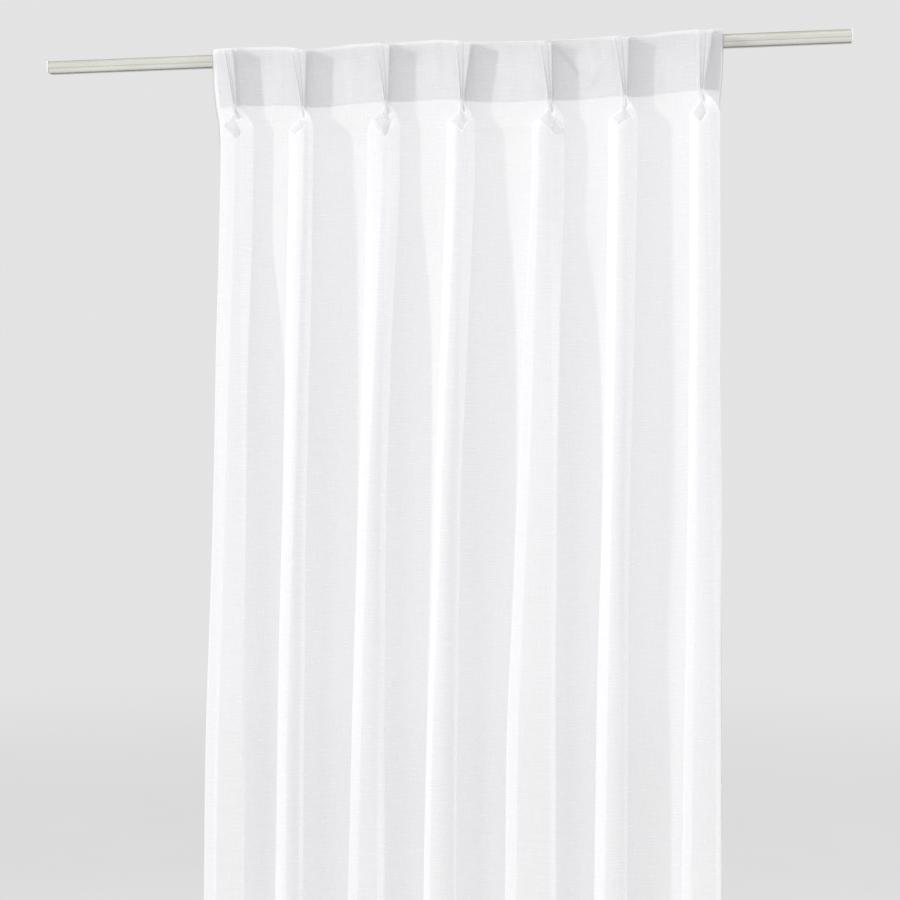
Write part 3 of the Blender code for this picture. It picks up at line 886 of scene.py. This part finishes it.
# The heading tape is a stiff woven tape, sheer but closer than the voile, sewn to the cloth's back
# along its two edges. It folds into the fingers with the cloth and ends just short of the side edges.
# Rows of small pockets are woven into it, where the hooks can be set higher or lower.
TAPE_TOP = 3.0
TAPE_SIDES = (6.0, 3.0)         # how far the tape ends short of the left and of the right edge
TAPE_BEHIND = 0.6
SELVEDGE = 4.0                  # width of the closer weave along its two edges
SELVEDGE_BLUR = 0.3             # half the width of the step down from it
POCKET_ROWS = 22.0              # from one row of pockets to the next
POCKET_PITCH = 6.0              # and from one pocket to the next along a row
TAPE_YARN = ((0.66, 0.66, 0.673, 1), (0.71, 0.71, 0.721, 1))
TAPE_GLOW = (0.85, 0.85, 0.87, 1)
TAPE_THROUGH = 0.1


def woven_tape():
    """Woven polyester tape: close upright cords, a few rows of thicker weft, and rows of pockets."""
    material, nodes = new_material("heading_tape")
    place = nodes.node("ShaderNodeUVMap", {"uv_map": "weave"})
    cords = place.noise(1500, 15, 1, detail=0.0)
    weft = place.noise(20, 1800, 1, detail=0.0)
    patches = place.noise(60, 60, 1)
    middle, half = (TAPE_TOP + TAPE_HEIGHT / 2) * MM, TAPE_HEIGHT / 2 * MM
    inwards = half - (place.part(1) - middle).absolute()
    selvedge = 1.0 - inwards.between((SELVEDGE - SELVEDGE_BLUR) * MM, (SELVEDGE + SELVEDGE_BLUR) * MM)
    rows = ((place.part(1) - middle) * (2 * pi / (POCKET_ROWS * MM))).sine().between(0.55, 0.65)
    slots = (place.part(0) * (2 * pi / (POCKET_PITCH * MM))).sine().between(-0.8, -0.4)
    pockets = rows * slots
    cover = 0.84 + 0.1 * cords + 0.06 * weft + 0.03 * selvedge + 0.02 * pockets
    yarn = nodes.principled(
        Base_Color=patches.colour(*TAPE_YARN),
        Roughness=0.75,
        Specular_IOR_Level=0.25,
        Normal=(0.5 * cords + 0.5 * weft + selvedge + pockets).relief(0.0004, 0.5),
    )
    sheer(nodes, yarn, TAPE_GLOW, TAPE_THROUGH, cover).shown()
    return material


across, down = cloth[0, :, 3], cloth[:, 0, 4]
tape_start, tape_end = TAPE_SIDES[0] * MM, across[-1] - TAPE_SIDES[1] * MM
tape_columns = (across > tape_start) & (across < tape_end)
tape_rows = (down >= TAPE_TOP * MM) & (down <= (TAPE_TOP + TAPE_HEIGHT) * MM)
tape_grid = cloth[tape_rows][:, tape_columns].copy()
tape_grid[..., :3] += TAPE_BEHIND * MM * cloth_back[tape_rows][:, tape_columns]
tape_mesh = cloth_mesh("woven_heading_tape", tape_grid)
tape = new_piece("woven_heading_tape", tape_mesh, woven_tape(), "heading_tape", "heading_tape")


# All the sewing is in fine white polyester thread, in straight rows of small machine stitches: along
# both edges of the tape, and along each hem. They show on the face and on the back. A few turns of
# thread round the front of its fingers tack each pleat, just under the tape.
STITCH = 3.4                    # from one stitch to the next
STITCH_SHOWN = 0.75             # share of that length that lies on the surface
THREAD = 0.15                   # radius of the thread
PROUD = 0.2                     # how far a stitch stands off the cloth
TAPE_SEAM = 2.5                 # from the tape's edge to its row of stitches
HEM_SEAM = 3.0                  # from a hem's turned edge to its row
TACK_DEPTHS = (93.6, 95.0, 96.4, 97.8)
TACK_COLUMNS = (2, 4, 6, 8, 22, 24, 38, 40, 42, 44)     # the finished pleat's columns that it goes round
TACK_BACK = 4.0                 # a turn bends round a line this far behind its middle
TACK_THREAD = 0.25              # radius of the thread, two strands together
TACK_PROUD = 0.4                # how far it stands off the cloth
SEWING_THREAD = ((0.90, 0.90, 0.91, 1), (0.95, 0.95, 0.955, 1))


def grid_place(values, wanted):
    """The step of a rising row of values that each wanted one lies in, and the share along it."""
    place = np.interp(wanted, values, np.arange(len(values)))
    step = np.minimum(place.astype(int), len(values) - 2)
    return step, (place - step)[..., None]


def on_cloth(places, proud):
    """Points at these places of the flat cloth, this far in front of it, and the ways out of its face."""
    column, right = grid_place(across, places[..., 0])
    row, below = grid_place(down, places[..., 1])
    found = []
    for grid in (cloth[..., :3], -cloth_back):
        upper = mixed(grid[row, column], grid[row, column + 1], right)
        lower = mixed(grid[row + 1, column], grid[row + 1, column + 1], right)
        found.append(mixed(upper, lower, below))
    point, out = found
    return point + np.asarray(proud)[..., None] * out, out


def thread_tubes(points, out, radius):
    """Corners and faces of thin four-sided threads along rows of points, drawn in at their ends."""
    count, length = points.shape[:2]
    side = np.cross(np.gradient(points, axis=1), out)
    side /= np.linalg.norm(side, axis=2)[..., None]
    size = np.full((length, 1), radius)
    size[[0, -1]] = radius / 2
    corners = np.stack([points + way * size for way in (out, side, -out, -side)], axis=2)
    index = np.arange(count * length * 4).reshape(count, length, 4)
    beside = np.roll(index, -1, axis=2)
    walls = np.stack((index[:, :-1], beside[:, :-1], beside[:, 1:], index[:, 1:]), axis=-1)
    ends = np.concatenate((index[:, 0, ::-1], index[:, -1]))
    return corners.reshape(-1, 3), np.concatenate((walls.reshape(-1, 4), ends))


def stitch_row(start, end, behind):
    """A row of stitches between two places of the flat cloth, on its face and on its layers' back."""
    start, end = np.array(start), np.array(end)
    length = np.linalg.norm(end - start)
    begins = np.arange(STITCH, length / MM - STITCH, STITCH)
    along = (begins[:, None] + np.array((0.0, 0.5, 1.0)) * STITCH * STITCH_SHOWN) * MM / length
    places = mixed(start, end, along[..., None])
    arc = np.array((0.0, 1.0, 0.0)) * PROUD
    made = []
    for proud, facing in ((arc, 1.0), (-behind - arc, -1.0)):
        points, out = on_cloth(places, np.broadcast_to(proud * MM, along.shape))
        made.append(thread_tubes(points, out * facing, THREAD * MM))
    return made


def tacks():
    """The turns of thread round the front of each pleat's fingers."""
    points = []
    for number in range(len(PLEATS)):
        columns = finished_column(number) + np.array(TACK_COLUMNS)
        for depth in TACK_DEPTHS:
            points.append(cloth[np.argmin(np.abs(down - depth * MM)), columns, :3])
    points = np.array(points)
    out = points - points.mean(axis=1, keepdims=True) + np.array((0.0, TACK_BACK * MM, 0.0))
    out[..., 2] = 0.0
    out /= np.linalg.norm(out, axis=2)[..., None]
    return thread_tubes(points + out * TACK_PROUD * MM, out, TACK_THREAD * MM)


def sewing_thread():
    """Spun polyester thread with a slight twist."""
    material, nodes = new_material("sewing_thread")
    place = object_place(nodes)
    fibres = place.noise(3000, 3000, 3000)
    nodes.principled(
        Base_Color=fibres.colour(*SEWING_THREAD),
        Roughness=0.6,
        Specular_IOR_Level=0.3,
        Normal=fibres.relief(0.00005, 0.5),
    ).shown()
    return material


width, length = float(across[-1]), ROWS[-1] * MM
tape_seams = (TAPE_TOP + TAPE_SEAM, TAPE_TOP + TAPE_HEIGHT - TAPE_SEAM)
side_seam = (SIDE_HEM - HEM_SEAM) * MM
foot_seam = length - (FOOT_HEM - HEM_SEAM) * MM
tubes = [tacks()]
for depth in tape_seams:
    tubes += stitch_row((tape_start, depth * MM), (tape_end, depth * MM), TAPE_BEHIND)
for place in (side_seam, width - side_seam):
    tubes += stitch_row((place, 0.0), (place, length), SIDE_HEM_BEHIND)
tubes += stitch_row((0.0, foot_seam), (width, foot_seam), FOOT_HEM_BEHIND)
firsts = np.cumsum([0] + [len(corners) for corners, _ in tubes])
thread_mesh = bpy.data.meshes.new("sewing_thread")
thread_mesh.from_pydata(
    np.concatenate([corners for corners, _ in tubes]).tolist(), [],
    np.concatenate([faces + first for (_, faces), first in zip(tubes, firsts)]).tolist(),
)
thread_mesh.shade_smooth()
new_piece("sewing_thread", thread_mesh, sewing_thread(), "voile")
float(tape_end - tape_start)


# The floor is a pale sheet under the hem that fades out into an evenly pale room. A small lamp on the
# left throws the pleats' shadows. Two broad ones fill them, one in front and one above, and a weak one
# stands behind on the right.
FLOOR_DROP = 0.015              # from the hem down to the floor
FLOOR_REACH = 20.0              # from the middle of the floor to each of its sides
FLOOR_FADES = (2.5, 14.0)       # it fades out between these distances from the curtain
FLOOR_PAINT = ((0.71, 0.71, 0.705, 1), (0.75, 0.75, 0.745, 1))
ROOM_TONE = (0.77, 0.77, 0.773, 1.0)
AIM = Vector((0.04, -0.03, -0.45))      # the place in the curtain that the lamps look at


def lamp(name, azimuth, elevation, distance, size, watts, colour):
    """A square lamp round the curtain: azimuth 0 is in front of it, and less is to the left."""
    a, e = radians(azimuth), radians(elevation)
    out = Vector((sin(a) * cos(e), -cos(a) * cos(e), sin(e)))
    light = bpy.data.lights.new(name, "AREA")
    light.size = size
    light.energy = watts
    light.color = colour
    made = bpy.data.objects.new(name, light)
    bpy.context.scene.collection.objects.link(made)
    made.location = AIM + out * distance
    made.rotation_mode = "QUATERNION"
    made.rotation_quaternion = out.to_track_quat("Z", "Y")
    made.visible_camera = False


def pale_floor():
    """Matt pale paint, which fades out into the room a few metres away."""
    material, nodes = new_material("pale_floor")
    place = object_place(nodes)
    clouds = place.noise(1.5, 1.5, 1.5)
    paint = nodes.principled(
        Base_Color=clouds.colour(*FLOOR_PAINT),
        Roughness=1.0,
        Specular_IOR_Level=0.0,
    )
    away = place.node("ShaderNodeVectorMath", {"operation": "LENGTH"}, {0: place}, 1)
    open_air = nodes.node("ShaderNodeBsdfTransparent")
    faded = away.between(*FLOOR_FADES)
    nodes.node("ShaderNodeMixShader", None, {0: faded, 1: paint, 2: open_air}).shown()
    return material


floor_mesh = bpy.data.meshes.new("floor")
floor_z = cad_box[0].z - FLOOR_DROP
square = ((-1, -1), (1, -1), (1, 1), (-1, 1))
floor_corners = [(x * FLOOR_REACH, y * FLOOR_REACH, floor_z) for x, y in square]
floor_mesh.from_pydata(floor_corners, [], [(0, 1, 2, 3)])
floor_mesh.materials.append(pale_floor())
floor = bpy.data.objects.new("floor", floor_mesh)
bpy.context.scene.collection.objects.link(floor)

lamp("lamp_left", azimuth=-58, elevation=12, distance=14.0, size=0.7, watts=720, colour=(1.0, 0.99, 0.98))
lamp("lamp_front", azimuth=8, elevation=12, distance=9.0, size=4.0, watts=40, colour=(0.98, 0.99, 1.0))
lamp("lamp_above", azimuth=0, elevation=80, distance=3.6, size=3.0, watts=78, colour=(0.98, 0.99, 1.0))
lamp("lamp_back", azimuth=115, elevation=14, distance=12.0, size=1.4, watts=250, colour=(1.0, 1.0, 1.0))

sky = bpy.data.worlds.new("sky")
bpy.context.scene.world = sky
sky.use_nodes = True
sky.node_tree.nodes["Background"].inputs["Color"].default_value = ROOM_TONE


# The camera stands at eye height, to the right of the middle and about two and a half metres in front
# of the curtain. It has a fairly long lens, and looks a little up and to the left.
CAMERA_PLACE = (0.42901, -2.46714, -0.67058)
CAMERA_LENS = 66.68             # in millimetres
CAMERA_TURN = 9.3               # degrees to the left
CAMERA_TILT = 1.4               # degrees up
CAMERA_ROLL = 0.19              # degrees, its right side up

turn, tilt, roll = radians(CAMERA_TURN), radians(CAMERA_TILT), radians(CAMERA_ROLL)
look = Vector((-sin(turn) * cos(tilt), cos(turn) * cos(tilt), sin(tilt)))
level = Vector((cos(turn), sin(turn), 0.0))
upright = level.cross(look)
right = level * cos(roll) + upright * sin(roll)
up = upright * cos(roll) - level * sin(roll)
view = bpy.data.cameras.new("camera")
view.lens = CAMERA_LENS
camera = bpy.data.objects.new("camera", view)
bpy.context.scene.collection.objects.link(camera)
axes = Matrix((right, up, -look)).transposed()
camera.matrix_world = Matrix.Translation(CAMERA_PLACE) @ axes.to_4x4()
bpy.context.scene.camera = camera
bpy.context.scene.view_settings.view_transform = "Standard"
